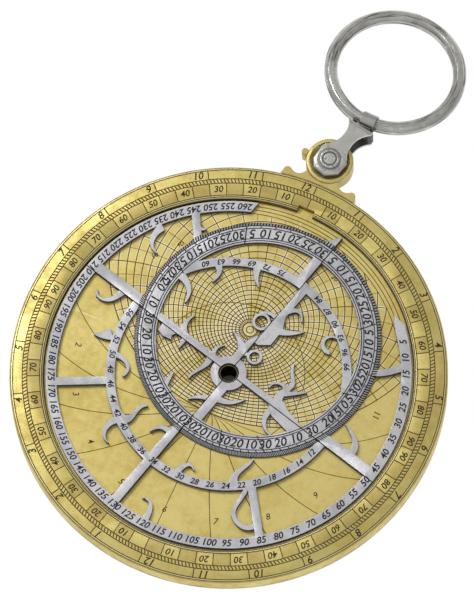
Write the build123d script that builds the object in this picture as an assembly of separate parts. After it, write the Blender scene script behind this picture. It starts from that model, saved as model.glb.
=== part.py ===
from build123d import *
import os
from math import asin, cos, degrees, radians, sin, sqrt

# Planispheric astrolabe lying face up.
# The origin is on the centre bore, at the back face of the mater. +Z leaves the face, +Y goes to the throne.

# Fits and gaps, in millimetres
fixed_gap = 0.02
run_gap = 0.05
plate_gap = 0.15
side_gap = 0.1

# Mater
disc_radius = 50.0
limb_width = 7.7
back_thickness = 1.2
rim_chamfer = 0.35
notch_width = 4.0
notch_depth = 1.3

# Plates in the well of the mater
tympan_names = ("tympan_lower", "tympan_middle", "tympan_upper")
tympan_thickness = 0.8

# Rete
rete_thickness = 1.0
rete_recess = 0.35
rete_rim_gap = 0.5
rete_rest_turn = -14.5
rim_band_width = 2.5
hub_radius = 4.15
ecliptic_share = 0.677
ecliptic_width = 5.0
ecliptic_bevel_width = 0.9
ecliptic_bevel_depth = 0.5
fin_height = 2.9
equator_share = 0.646
equator_width = 2.1
colure_width = 2.3
bar_width = 2.5
bar_overlap = 0.6
inner_bar_width = 1.6
strut_width = 1.9
curl_width = 0.65
tracery_steps = 41.8

# Centre tube
tube_radius = 2.3
tube_bore_radius = 1.9
tube_front_drop = 0.45
flange_radius = 4.6
flange_thickness = 0.8
washer_thickness = 0.3

# Alidade and its sight vanes
alidade_setback = 3.0
alidade_width = 8.6
alidade_thickness = 1.5
alidade_hub_radius = 7.5
alidade_taper = 10.0
vane_setback = 11.0
vane_length = 11.5
vane_width = 7.8
vane_thickness = 1.0
vane_pinhole_radius = 0.45
vane_window_radius = 1.3
knuckle_radius = 1.0
knuckle_width = 3.6
hinge_pin_radius = 0.5
hinge_base_thickness = 0.6
ear_thickness = 1.2
hinge_foot = 3.7
block_rivet_radius = 0.45
block_rivet_head = 0.35

# Throne
drum_radius = 5.5
drum_offset = 6.3
drum_inset = 0.05
drum_recess_radius = 4.55
drum_recess_depth = 0.45
throne_inset = 0.35
horn_spread = 8.2
horn_height = 1.6
bud_radius = 0.8
bud_reach = 1.5
bud_rise = 0.0
tongue_width = 6.0
tongue_length = 3.2
tongue_thickness = 1.35
throne_pin_radius = 0.5
throne_pin_spacing = 3.4

# Shackle and its rivet
shackle_swing = -16.5
eye_radius = 3.8
eye_facets = 8
eye_chamfer = 0.3
strap_thickness = 1.1
shackle_length = 13.7
waist_station = 5.9
waist_width = 3.1
fishtail_station = 10.7
fishtail_width = 6.6
nose_station = 11.2
nose_wall = 1.2
nose_round = 1.2
nose_skew = 7.0
bow_width = 3.6
bow_lip = 0.2
bow_neck_half = 1.3
rivet_shank_radius = 1.2
rivet_head_radius = 2.35
rivet_head_height = 0.4
shackle_washer_radius = 3.4

# Suspension ring
ring_inner_diameter = 27.0
ring_wire = 3.0
ring_facet = 0.88
ring_slide = 15.5
wire_play = 0.17

# Heights and radii that follow
well_radius = disc_radius - limb_width
well_floor = back_thickness
plates_top = well_floor + len(tympan_names) * tympan_thickness
rete_bottom = plates_top + run_gap
rete_top = rete_bottom + rete_thickness
face_height = rete_top + rete_recess
mid_height = face_height / 2
rete_radius = well_radius - rete_rim_gap
tympan_radius = well_radius - plate_gap
rete_bore_radius = tube_radius + run_gap
tracery_step = rete_radius / tracery_steps
equator_radius = equator_share * rete_radius
ecliptic_radius = ecliptic_share * rete_radius
ecliptic_offset = rete_radius - fin_height - ecliptic_radius
ecliptic_inner_radius = ecliptic_radius - ecliptic_width
alidade_reach = disc_radius - alidade_setback
vane_station = alidade_reach - vane_setback
alidade_front = -run_gap
alidade_back = alidade_front - alidade_thickness
washer_back = alidade_back - run_gap - washer_thickness
flange_back = washer_back - flange_thickness
hinge_axis_height = alidade_back - hinge_base_thickness - side_gap - knuckle_radius
ear_radius = knuckle_radius + run_gap
lowest_height = hinge_axis_height - ear_radius
drum_y = disc_radius + drum_offset
drum_half = mid_height - drum_inset
strap_inner_half = drum_half + side_gap
strap_outer_half = strap_inner_half + strap_thickness
wire_radius = ring_wire / 2
wire_corner_radius = sqrt(wire_radius ** 2 + (wire_radius - ring_facet) ** 2)
ring_mid_radius = ring_inner_diameter / 2 + wire_radius
bow_bore_radius = wire_corner_radius + wire_play
bore_reach = fishtail_width / 2 + wire_play + bow_lip
wire_bend = bore_reach ** 2 / (2 * ring_mid_radius)
wire_lean = asin(bore_reach / ring_mid_radius)
bore_mouth_radius = wire_corner_radius / cos(wire_lean) + wire_play + wire_bend
bow_flare = (bore_mouth_radius - bow_bore_radius) * (bow_width / 2 / bore_reach) ** 2
bow_radius = bow_bore_radius + bow_flare + bow_lip
ring_rest_drop = degrees(asin((mid_height - lowest_height - wire_radius) / (2 * ring_mid_radius)))


def plate(face, bottom, top):
    """A flat piece of this outline between two heights."""
    return Pos(0, 0, bottom) * extrude(face, top - bottom)


def polygon(*points):
    """A flat face with straight edges through the points."""
    return make_face(Polyline(*points, close=True))


def polar(radius, bearing):
    """The point at this radius and bearing, with bearings clockwise from 12 o'clock."""
    return (radius * sin(radians(bearing)), radius * cos(radians(bearing)))


def strip(path, start_width, end_width=0.3):
    """A curved strip that tapers along the smooth line through the path points."""
    line = Spline(*path) if len(path) > 2 else Line(*path)
    stations = len(path) if len(path) > 2 else 2
    left = []
    right = []
    for index in range(stations):
        share = index / (stations - 1)
        centre = line @ share
        heading = line % share
        half = (start_width + (end_width - start_width) * share) / 2
        side = Vector(-heading.Y, heading.X) * half
        left.append(centre + side)
        right.append(centre - side)
    edges = [Line(left[-1], right[-1]), Line(right[0], left[0])]
    for side_points in (left, right):
        edges.append(Spline(*side_points) if stations > 2 else Line(*side_points))
    return make_face(edges)


def curl(centre, radius, width, start, sweep):
    """A hook on a circle round its centre, sized in steps, from its start bearing through the sweep."""
    stations = 5
    path = []
    for index in range(stations):
        x, y = polar(radius * tracery_step, start + sweep * index / (stations - 1))
        path.append((centre[0] + x, centre[1] + y))
    return strip(path, width * tracery_step)


def loop(centre, radius):
    """A closed ring in the plane of the rete, with its outer radius in steps."""
    outer_radius = radius * tracery_step
    return Pos(*centre) * (Circle(outer_radius) - Circle(outer_radius - curl_width))


# Mater

def make_back_plate():
    disc = plate(Circle(disc_radius), 0, back_thickness)
    disc -= plate(Circle(tube_radius + fixed_gap), 0, back_thickness)
    disc -= throne_pins(throne_pin_radius + fixed_gap)
    bottom_rim = disc.edges().filter_by(GeomType.CIRCLE).group_by(SortBy.RADIUS)[-1].sort_by(Axis.Z)[0]
    return chamfer(bottom_rim, rim_chamfer)


def make_limb_ring():
    ring = plate(Circle(disc_radius) - Circle(well_radius), back_thickness, face_height)
    top_rims = ring.edges().filter_by(GeomType.CIRCLE).group_by(Axis.Z)[-1]
    ring = chamfer(top_rims, rim_chamfer)
    notch = Pos(0, well_radius) * Rectangle(notch_width, 2 * notch_depth)
    ring -= plate(notch, back_thickness, face_height)
    ring -= tongue(fixed_gap)
    return ring


def make_tympan(level):
    lug_width = notch_width - 2 * plate_gap
    outline = Circle(tympan_radius) + Pos(0, well_radius) * Rectangle(lug_width, 2 * (notch_depth - plate_gap))
    outline -= Circle(tube_radius + run_gap)
    bottom = well_floor + level * tympan_thickness
    return plate(outline, bottom, bottom + tympan_thickness)


# Throne

def tongue(gap):
    """The tongue under the limb that carries the throne, grown by the gap for its pocket."""
    size = Rectangle(tongue_width + 2 * gap, tongue_length + gap)
    centre = disc_radius - (tongue_length + gap) / 2
    return plate(Pos(0, centre) * size, back_thickness, back_thickness + tongue_thickness + gap)


def throne_pins(radius):
    """Both pins that fix the tongue to the back plate, as one shape."""
    y = disc_radius - tongue_length / 2
    outline = Sketch()
    for x in (-throne_pin_spacing / 2, throne_pin_spacing / 2):
        outline += Pos(x, y) * Circle(radius)
    return plate(outline, 0, back_thickness + tongue_thickness)


def throne_half(side):
    """One horn of the throne and the hollow curve from it up to the drum."""
    tip = (side * horn_spread, disc_radius + horn_height - 0.2)
    root = (side * (horn_spread + 1.3), disc_radius - 2.2)
    shoulder = (side * drum_radius * 0.72, drum_y - drum_radius * 0.66)
    hollow = (side * (horn_spread - 1.9), disc_radius + horn_height * 0.45)
    crown = (side * (horn_spread - 0.75), disc_radius + horn_height - 0.35)
    edges = [
        Line((0, drum_y), (0, disc_radius - 2.2)),
        Line((0, disc_radius - 2.2), root),
        Line(root, (side * (horn_spread + 0.75), disc_radius + horn_height * 0.45)),
        ThreePointArc((side * (horn_spread + 0.75), disc_radius + horn_height * 0.45), tip, crown),
        ThreePointArc(crown, hollow, shoulder),
        Line(shoulder, (0, drum_y)),
    ]
    return make_face(edges)


def make_throne():
    outline = throne_half(1) + throne_half(-1) - Circle(disc_radius + fixed_gap)
    body = plate(outline, throne_inset, face_height - throne_inset)
    body += plate(Pos(0, drum_y) * Circle(drum_radius), mid_height - drum_half, mid_height + drum_half)
    rims = body.edges().filter_by(GeomType.CIRCLE).filter_by(lambda e: abs(e.radius - drum_radius) < 0.001)
    outer_rims = rims.filter_by(lambda e: abs(abs(e.center().Z - mid_height) - drum_half) < 0.001)
    body = chamfer(outer_rims, drum_recess_depth / 2)
    recess = Pos(0, drum_y) * Circle(drum_recess_radius)
    body -= plate(recess, mid_height + drum_half - drum_recess_depth, mid_height + drum_half)
    body -= plate(recess, mid_height - drum_half, mid_height - drum_half + drum_recess_depth)
    body += make_bud()
    joining_bed = Pos(0, disc_radius) * Rectangle(tongue_width, 2 * throne_inset)
    body += tongue(0) + plate(joining_bed, back_thickness, back_thickness + tongue_thickness)
    body -= plate(Pos(0, drum_y) * Circle(rivet_shank_radius + run_gap), 0, face_height)
    body -= throne_pins(throne_pin_radius + fixed_gap)
    return body


def make_bud():
    """The small upright bud on the left of the drum, nearly as thick as the throne."""
    centre = (-drum_radius - bud_reach + bud_radius, drum_y + bud_rise)
    stem = (-drum_radius * 0.8, drum_y + bud_rise * 0.5)
    outline = Pos(*centre) * Circle(bud_radius)
    outline += polygon((centre[0], centre[1] + bud_radius), stem, (centre[0], centre[1] - bud_radius))
    return plate(outline, throne_inset, face_height - throne_inset)


def make_throne_pin(side):
    x = side * throne_pin_spacing / 2
    y = disc_radius - tongue_length / 2
    return plate(Pos(x, y) * Circle(throne_pin_radius), 0, back_thickness + tongue_thickness)


# Rete, drawn upright with the first point of the winter sign at 12 o'clock

def on_rim(bearing, lift=0.0):
    """A point on the middle of the outer band, or lifted off it by some steps."""
    return polar(rete_radius - rim_band_width / 2 + lift * tracery_step, bearing)


def on_equator(bearing, lift=0.0):
    """A point on the middle of the equator band, or lifted off it by some steps."""
    return polar(equator_radius + lift * tracery_step, bearing)


def on_ecliptic(bearing, lift=0.0):
    """A point on the middle of the ecliptic, with bearings round its own centre."""
    x, y = polar(ecliptic_radius - ecliptic_width / 2 + lift * tracery_step, bearing)
    return (x, y + ecliptic_offset)


def beside(start, end, share, shift):
    """The point at a share of the way along a line, and some steps to its left."""
    length = sqrt((end[0] - start[0]) ** 2 + (end[1] - start[1]) ** 2)
    ahead = ((end[0] - start[0]) / length, (end[1] - start[1]) / length)
    x = start[0] + share * length * ahead[0] - shift * tracery_step * ahead[1]
    y = start[1] + share * length * ahead[1] + shift * tracery_step * ahead[0]
    return (x, y)


def pointer(root, moves, width, tip_width=0.3):
    """A star pointer that grows from its root through the moves, which are in steps from the root."""
    path = [root]
    for across, along in moves:
        path.append((root[0] + across * tracery_step, root[1] + along * tracery_step))
    return strip(path, width * tracery_step, tip_width * tracery_step)


def hub_spot(across, along):
    """A point by its steps from the centre."""
    return (across * tracery_step, along * tracery_step)


def rim_band():
    """The outer band, open at the top between its slanted end and its leaf point."""
    band = Circle(rete_radius) - Circle(rete_radius - rim_band_width)
    inner_radius = rete_radius - rim_band_width
    opening = polygon(
        on_rim(-34.5, -4.15),
        on_rim(-28.55, 2.15),
        on_rim(-14.6, 7.0),
        on_rim(14.0, 9.0),
        on_rim(33.0, 5.25),
        polar(rete_radius, 35.4),
        polar(rete_radius - 0.6 * rim_band_width, 31.2),
        polar(inner_radius + 0.1 * rim_band_width, 34.5),
        polar(inner_radius, 37.5),
        on_rim(36.0, -4.25),
        on_rim(0.0, -7.55),
    )
    return band - opening


def ecliptic_outline():
    return Pos(0, ecliptic_offset) * (Circle(ecliptic_radius) - Circle(ecliptic_inner_radius))


def equator_outline():
    """The equator band, below the equinoctial bar outside the ecliptic and above it inside."""
    half = equator_width / 2
    band = Circle(equator_radius + half) - Circle(equator_radius - half)
    middle_circle = Pos(0, ecliptic_offset) * Circle(ecliptic_radius - ecliptic_width / 2)
    reach = disc_radius
    upper = Pos(0, reach / 2 + bar_width / 2) * Rectangle(2 * reach, reach)
    return (band - upper) + (band & middle_circle & (Pos(0, reach / 2) * Rectangle(2 * reach, reach)))


def colure_bars():
    """The bar on the meridian, which changes sides of its centre line from part to part."""
    top = ecliptic_offset + ecliptic_inner_radius + bar_overlap
    middle = equator_radius - equator_width / 2 + bar_overlap
    ecliptic_foot = ecliptic_offset - ecliptic_inner_radius - bar_overlap
    band_foot = -(rete_radius - rim_band_width / 2)
    hub_edge = hub_radius - bar_overlap
    outer_top = polygon((0, top), (0, middle), (-colure_width, middle), (-colure_width, top))
    shoulder = [hub_spot(1.8, 18.6), hub_spot(3.2, 15.6), hub_spot(3.3, 11.2), hub_spot(1.0, 9.4)]
    inner_top = polygon((0, middle), (colure_width * 0.82, middle), *shoulder, hub_spot(0, 9.4))
    inner_hub = polygon(hub_spot(0, 11.0), (0, hub_edge), (-colure_width * 0.87, hub_edge),
                        hub_spot(-1.5, 9.0), hub_spot(-0.6, 11.0))
    inner_foot = polygon((0, -hub_edge), (colure_width, -hub_edge), (colure_width, ecliptic_foot),
                         (0, ecliptic_foot))
    outer_foot = polygon((0, ecliptic_foot), (0, band_foot), (-colure_width, band_foot),
                         (-colure_width * 0.87, ecliptic_foot))
    return [outer_top, inner_top, inner_hub, inner_foot, outer_foot]


def equinoctial_bars():
    """The bar on the equinoctial line, with its tab and its broad right foot."""
    reach = rete_radius - rim_band_width / 2
    crossing = sqrt(ecliptic_inner_radius ** 2 - ecliptic_offset ** 2)
    outer_start = crossing + ecliptic_width / 2
    left_outer = polygon((-reach, 0), (-outer_start, 0), (-outer_start, bar_width), (-reach, bar_width))
    right_outer = polygon((reach, 0), (outer_start, 0), (outer_start, bar_width), (reach, bar_width * 1.1))
    ring_edge = crossing + bar_overlap
    left_inner = polygon((-ring_edge, 0), (0, 0), (0, inner_bar_width), (-ring_edge, inner_bar_width * 1.1))
    tab = polygon(hub_spot(-19.4, 0.3), hub_spot(-19.2, -1.9), hub_spot(-17.6, -2.4), hub_spot(-15.3, -1.9),
                  hub_spot(-15.9, -1.0), hub_spot(-15.2, 0.3))
    swelling = [hub_spot(11.6, 1.6), hub_spot(12.4, 2.6), hub_spot(14.6, 2.4), hub_spot(16.0, 1.5)]
    right_inner = polygon((0, 0), (0, inner_bar_width), *swelling, (ring_edge, inner_bar_width * 0.2),
                          (ring_edge, 0))
    foot_edge = [hub_spot(13.4, -0.9), hub_spot(14.0, -1.9), hub_spot(16.8, -2.3)]
    right_foot = polygon(hub_spot(11.0, 0.2), *foot_edge, (ring_edge, -inner_bar_width * 1.8),
                         (ring_edge, inner_bar_width * 0.1))
    return [left_outer, right_outer, left_inner, tab, right_inner, right_foot]


def strut(start, end):
    return strip((start, end), strut_width, strut_width)


def strut_ends():
    """Both ends of each straight stay: to the ecliptic, and twice to the equator band."""
    return [
        (on_rim(-49.8), on_ecliptic(-70.6)),
        (on_rim(-131.3), on_equator(-132.0)),
        (on_rim(131.0), on_equator(130.1)),
    ]


def struts():
    """The stays between the outer band, the ecliptic and the equator band, and their offshoots."""
    upper_left, lower_left, lower_right = strut_ends()
    stays = [strut(*upper_left), strut(*lower_left), strut(*lower_right)]
    kinked = (on_rim(49.0), on_ecliptic(67.2, 4.35), on_ecliptic(69.8, 0.2))
    stays.append(strip(kinked, 0.9 * strut_width, 0.8 * strut_width))
    bow = [(0.96, 1.13), (0.76, 3.0), (0.557, 4.95), (0.352, 4.27), (0.268, 0.5)]
    path = [beside(*lower_right, share, shift) for share, shift in bow]
    stays.append(strip(path, 0.9 * tracery_step, 1.2 * tracery_step))
    tab = [beside(*upper_left, share, shift) for share, shift in ((0.442, 0.33), (0.507, 0.84), (0.51, 2.18))]
    stays.append(strip(tab, 1.0 * tracery_step, 0.4 * tracery_step))
    return stays


def capricorn_fin():
    """The fin on the ecliptic that points at the scale of the limb."""
    foot = ecliptic_offset + ecliptic_radius - fin_height * 0.28
    tip = (0, rete_radius - rim_chamfer * 0.3)
    nib = (-fin_height * 0.17, rete_radius - fin_height * 0.14)
    heel = (-fin_height * 1.03, foot)
    edges = [
        Line((0, foot), tip),
        Line(tip, nib),
        ThreePointArc(nib, (-fin_height * 0.55, foot + fin_height * 0.66), heel),
        Line(heel, (0, foot)),
    ]
    return make_face(edges)


def outer_pointers():
    """Star pointers outside the ecliptic."""
    left_bar = (-equator_radius - 4.2 * tracery_step, bar_width * 0.32)
    right_bar = (equator_radius + 6.6 * tracery_step, bar_width * 0.64)
    colure_root = (-colure_width / 2, 7.7 * tracery_step - equator_radius)
    return [
        pointer(on_rim(-61.9, -1.9), [(-0.1, -3.5), (1.1, -5.3), (3.0, -5.8)], 2.0),
        pointer(left_bar, [(-0.8, -3.0), (-2.4, -4.8), (-4.2, -4.8), (-5.1, -3.7)], 1.7),
        pointer(on_equator(-108.9, 1.3), [(-1.4, -1.5), (-3.3, -2.6)], 3.2),
        pointer(on_equator(-118.6, 0.3), [(3.0, 0.8), (5.1, -0.1), (5.5, -2.5)], 1.5, 0.5),
        pointer(on_equator(-151.3, -0.3), [(2.2, 2.1), (2.2, 4.4), (3.4, 5.9)], 2.0),
        pointer(on_equator(-152.3, 0.8), [(-0.7, -2.6), (0.3, -4.7), (2.1, -5.3)], 1.7),
        pointer(colure_root, [(-2.8, -0.4), (-4.1, -2.7)], 1.6),
        pointer(on_rim(169.6, -0.3), [(-0.6, 2.9), (-1.8, 4.6), (-3.9, 4.3)], 1.7),
        pointer(on_equator(167.2), [(0.0, 2.5), (1.2, 4.0), (2.5, 3.3)], 1.8),
        pointer(on_equator(137.4, 0.5), [(-2.1, 2.8), (-1.5, 5.6), (-1.4, 7.9)], 2.1),
        pointer(right_bar, [(-0.7, 3.4), (-2.8, 4.7), (-5.2, 5.5)], 1.9),
    ]


def inner_pointers():
    """Star pointers inside the ecliptic."""
    left_bar = inner_bar_width / 2
    return [
        pointer(on_ecliptic(-88.1, -1.2), [(3.2, -0.3), (5.3, -2.0), (6.0, -4.4)], 2.3),
        pointer(on_equator(-45.3, 0.6), [(2.7, -2.0), (2.8, -4.6)], 2.2),
        pointer(on_equator(-24.1, 0.4), [(1.4, -2.8), (3.6, -4.6)], 2.2),
        pointer(on_ecliptic(-156.6, -1.6), [(-0.4, 4.0)], 1.6),
        pointer((-13.6 * tracery_step, left_bar), [(-1.7, 2.6), (-1.2, 5.2)], 1.9),
        pointer((-13.2 * tracery_step, left_bar), [(0.5, -3.2)], 1.5),
        pointer((-5.2 * tracery_step, left_bar), [(-0.7, 2.3), (0.3, 3.9)], 1.3),
        pointer((-6.0 * tracery_step, left_bar), [(0.6, -2.4), (-0.1, -4.9), (-0.4, -7.4)], 1.7),
        pointer(hub_spot(-0.2, 5.2), [(-2.2, 2.2), (-5.2, 3.2)], 2.6),
        pointer(hub_spot(1.6, -7.0), [(-3.0, -1.4), (-5.0, -3.6)], 1.7),
        pointer(hub_spot(1.4, -6.4), [(3.6, 1.4), (5.5, 3.9)], 1.7),
        pointer(hub_spot(1.2, 19.8), [(2.5, 1.7), (4.2, 0.1)], 1.4),
        pointer(hub_spot(1.4, 14.6), [(3.4, 1.5), (5.9, 4.0)], 2.1),
        pointer(hub_spot(0.2, 17.0), [(-1.7, 0.1), (-3.4, -1.1)], 1.0, 0.7),
        pointer(hub_spot(13.3, -0.6), [(-0.1, -2.6), (1.3, -4.4), (3.6, -5.0)], 1.6),
        pointer(hub_spot(13.2, 1.6), [(-0.4, 3.2), (-0.1, 5.6), (-1.8, 7.4), (-2.9, 9.6)], 1.9),
        pointer(hub_spot(12.8, 3.8), [(2.0, 1.7), (4.1, 3.7)], 1.4),
        pointer(hub_spot(12.9, 4.0), [(-1.7, 1.5), (-3.1, 0.7), (-3.4, -1.0)], 1.2),
    ]


def rete_loops():
    """The small rings and the open hook among the pointers."""
    hook_centre = on_equator(35.1, -2.67)
    return [
        loop(hub_spot(-1.9, 14.3), 2.1),
        loop(hub_spot(2.2, 6.7), 1.8),
        curl(hook_centre, 1.9, 1.1, 150.0, 250.0),
    ]


def make_rete():
    hub = Circle(hub_radius)
    pieces = [rim_band(), equator_outline(), capricorn_fin(), hub]
    pieces += colure_bars() + equinoctial_bars() + struts()
    pieces += outer_pointers() + inner_pointers() + rete_loops()
    tracery = Sketch() + pieces
    ring_area = Pos(0, ecliptic_offset) * Circle(ecliptic_radius)
    bevel_area = ring_area - Pos(0, ecliptic_offset) * Circle(ecliptic_radius - ecliptic_bevel_width)
    whole = plate(tracery + ecliptic_outline(), rete_bottom, rete_top)
    bevel_only = bevel_area - tracery
    cone = Pos(0, ecliptic_offset, rete_top - ecliptic_bevel_depth / 2) * Cone(
        ecliptic_radius, ecliptic_radius - ecliptic_bevel_width, ecliptic_bevel_depth)
    cutter = plate(bevel_only, rete_top - ecliptic_bevel_depth, rete_top) - cone
    whole -= cutter
    whole -= plate(Circle(rete_bore_radius), rete_bottom, rete_top)
    return Rot(0, 0, rete_rest_turn) * whole


# Centre tube and alidade

def make_centre_tube():
    front = rete_top - tube_front_drop
    tube = plate(Circle(tube_radius), flange_back, front)
    tube += plate(Circle(flange_radius), flange_back, washer_back)
    tube -= plate(Circle(tube_bore_radius), flange_back, front)
    front_rim = tube.edges().filter_by(GeomType.CIRCLE).group_by(Axis.Z)[-1].sort_by(SortBy.RADIUS)[-1]
    return chamfer(front_rim, (tube_radius - tube_bore_radius) / 2)


def make_alidade_washer():
    outline = Circle(flange_radius) - Circle(tube_radius + run_gap)
    return plate(outline, washer_back, washer_back + washer_thickness)


def alidade_arm():
    """One arm of the rule, from the centre to its pointed tip on the centre line."""
    half = alidade_width / 2
    shoulder = alidade_reach - alidade_taper
    edges = [Line((0, -half), (0, half))]
    for side in (1, -1):
        edges.append(Line((0, side * half), (shoulder, side * half)))
        swell = (shoulder + alidade_taper * 0.3, side * half * 0.42)
        edges.append(ThreePointArc((shoulder, side * half), swell, (alidade_reach, side * 0.3)))
    edges.append(Line((alidade_reach, -0.3), (alidade_reach, 0.3)))
    return make_face(edges)


def block_rivet_places():
    """Places of the two rivets in one hinge block, on the right arm."""
    x = vane_station + hinge_foot / 2
    return [(x, -vane_width / 2 + 1.1), (x, vane_width / 2 - 1.1)]


def make_alidade():
    outline = Circle(alidade_hub_radius) + alidade_arm() + Rot(0, 0, 180) * alidade_arm()
    outline -= Circle(tube_radius + run_gap)
    for place in block_rivet_places():
        hole = Pos(*place) * Circle(block_rivet_radius + fixed_gap)
        outline -= hole + Rot(0, 0, 180) * hole
    return plate(outline, alidade_back, alidade_front)


def block_frame(side):
    """The rule's frame turned to the right arm or the left arm."""
    return Rot(0, 0, 0 if side > 0 else 180)


def make_hinge_block(side):
    """A foot riveted to the rule with two ears that carry the hinge pin."""
    foot_centre = vane_station + hinge_foot / 2
    foot = Pos(foot_centre - ear_radius / 2, 0) * Rectangle(hinge_foot + ear_radius, vane_width)
    foot_bottom = alidade_back - hinge_base_thickness
    block = plate(foot, foot_bottom, alidade_back)
    ear_centre = knuckle_width / 2 + side_gap + ear_thickness / 2
    for y in (-ear_centre, ear_centre):
        web = Box(2 * ear_radius, ear_thickness, foot_bottom - hinge_axis_height)
        block += Pos(vane_station, y, (foot_bottom + hinge_axis_height) / 2) * web
        block += Pos(vane_station, y, hinge_axis_height) * Rot(90, 0, 0) * Cylinder(ear_radius, ear_thickness)
    pin_hole = Cylinder(hinge_pin_radius + fixed_gap, 2 * vane_width)
    block -= Pos(vane_station, 0, hinge_axis_height) * Rot(90, 0, 0) * pin_hole
    for place in block_rivet_places():
        block -= plate(Pos(*place) * Circle(block_rivet_radius + fixed_gap), foot_bottom, alidade_back)
    return block_frame(side) * block


def make_block_rivet(side, index):
    place = block_rivet_places()[index]
    foot_bottom = alidade_back - hinge_base_thickness
    shank = plate(Pos(*place) * Circle(block_rivet_radius), foot_bottom, alidade_front)
    head = Pos(place[0], place[1], foot_bottom - block_rivet_head / 2) * Cone(
        block_rivet_radius, 1.6 * block_rivet_radius, block_rivet_head)
    return block_frame(side) * (shank + head)


def make_sight_vane(side):
    """A vane with a pinhole and a window, folded flat towards the centre at rest."""
    half = vane_width / 2
    root = vane_station
    neck = root - ear_radius - side_gap
    crown = root - vane_length
    edges = [
        Line((neck, -half), (crown + 3.0, -half)),
        ThreePointArc((crown + 3.0, -half), (crown + 0.7, -half * 0.45), (crown, 0)),
        ThreePointArc((crown, 0), (crown + 0.7, half * 0.45), (crown + 3.0, half)),
        Line((crown + 3.0, half), (neck, half)),
        Line((neck, half), (neck, -half)),
    ]
    outline = make_face(edges)
    outline += polygon((neck - 0.2, -knuckle_width / 2), (root, -knuckle_width / 2), (root, knuckle_width / 2),
                       (neck - 0.2, knuckle_width / 2))
    outline -= Pos(root - vane_length * 0.42, 0) * Circle(vane_window_radius)
    outline -= Pos(root - vane_length * 0.76, 0) * Circle(vane_pinhole_radius)
    vane = plate(outline, hinge_axis_height - vane_thickness / 2, hinge_axis_height + vane_thickness / 2)
    axle_place = Pos(root, 0, hinge_axis_height) * Rot(90, 0, 0)
    vane += axle_place * Cylinder(knuckle_radius, knuckle_width)
    vane -= axle_place * Cylinder(hinge_pin_radius + run_gap, 2 * knuckle_width)
    return block_frame(side) * vane


def make_hinge_pin(side):
    length = knuckle_width + 2 * side_gap + 2 * ear_thickness
    pin = Pos(vane_station, 0, hinge_axis_height) * Rot(90, 0, 0) * Cylinder(hinge_pin_radius, length)
    return block_frame(side) * pin


# Shackle, drawn upright round its rivet and then swung to its rest

def shackle_frame():
    return Pos(0, drum_y, mid_height) * Rot(0, 0, shackle_swing)


def strap_side_profile():
    """Side view of the folded strap in Y and Z: two legs joined by a blunt nose."""
    back = -eye_radius - 1

    def hull(half, tip, corner):
        outline = Pos((back + tip) / 2, 0) * Rectangle(tip - back, 2 * half)
        return fillet(outline.vertices().group_by(Axis.X)[-1], corner)

    outer = hull(strap_outer_half, nose_station, nose_round)
    return outer - hull(strap_inner_half, nose_station - nose_wall, nose_round / 2)


def strap_front_outline():
    """Front view of the strap: eye, waist and fishtail."""
    join = (eye_radius * 0.88, eye_radius * 0.6)
    tail_half = fishtail_width / 2
    top = shackle_length
    outline = RegularPolygon(eye_radius, eye_facets, major_radius=False, rotation=180 / eye_facets)
    for side in (1, -1):
        corner = (side * tail_half, fishtail_station)
        edges = [
            Line((0, 0), (side * join[0], join[1])),
            ThreePointArc((side * join[0], join[1]), (side * waist_width / 2, waist_station), corner),
            Line(corner, (side * tail_half, top)),
            Line((side * tail_half, top), (0, top)),
            Line((0, top), (0, 0)),
        ]
        outline += make_face(edges)
    return outline


def bow_frame():
    """The bow's own frame, with X along the wire of the ring where it lies in the bow."""
    return Pos(0, shackle_length) * Rot(0, 0, ring_slide)


def bow_barrel():
    """The collar round the wire on its short neck, and the wire's bore, which widens as the wire bends."""
    neck_length = shackle_length - nose_station + nose_wall
    neck_centre = shackle_length - neck_length / 2
    neck = plate(Pos(0, neck_centre) * Rectangle(bow_width, neck_length), -bow_neck_half, bow_neck_half)
    collar = bow_frame() * Rot(0, 90, 0) * Cylinder(bow_radius, bow_width)
    edges = [
        Line((-bore_reach, 0), (-bore_reach, bore_mouth_radius)),
        ThreePointArc((-bore_reach, bore_mouth_radius), (0, bow_bore_radius), (bore_reach, bore_mouth_radius)),
        Line((bore_reach, bore_mouth_radius), (bore_reach, 0)),
        Line((bore_reach, 0), (-bore_reach, 0)),
    ]
    bore = bow_frame() * revolve(make_face(edges), Axis.X, 360)
    return neck + collar, bore


def make_shackle():
    side_view = Plane.YZ * strap_side_profile()
    strap = extrude(side_view, eye_radius + 1, both=True)
    strap = Pos(0, nose_station) * Rot(0, 0, nose_skew) * Pos(0, -nose_station) * strap
    strap &= plate(strap_front_outline(), -strap_outer_half, strap_outer_half)
    eye_rims = strap.edges().filter_by(lambda e: abs(abs(e.center().Z) - strap_outer_half) < 0.001)
    eye_rims = eye_rims.filter_by(GeomType.LINE).filter_by(lambda e: e.center().Y < eye_radius * 0.5)
    strap = chamfer(eye_rims, eye_chamfer)
    barrel, bore = bow_barrel()
    strap = strap + barrel - bore
    strap -= plate(Circle(rivet_shank_radius + fixed_gap), -strap_outer_half, strap_outer_half)
    return shackle_frame() * strap


def make_shackle_rivet():
    """The rivet through both legs and the drum, with a ring mark on its front head."""
    shank = plate(Circle(rivet_shank_radius), -strap_outer_half, strap_outer_half)
    heads = shank
    for side in (1, -1):
        disc = plate(Circle(rivet_head_radius), 0, rivet_head_height)
        rim = disc.edges().filter_by(GeomType.CIRCLE).group_by(Axis.Z)[-1]
        disc = chamfer(rim, rivet_head_height / 2)
        disc -= plate(Circle(rivet_head_radius * 0.72) - Circle(rivet_head_radius * 0.6),
                      rivet_head_height * 0.6, rivet_head_height)
        turned = Pos(0, 0, side * strap_outer_half) * Rot(0 if side > 0 else 180, 0, 0) * disc
        heads += turned
    return shackle_frame() * heads


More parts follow.
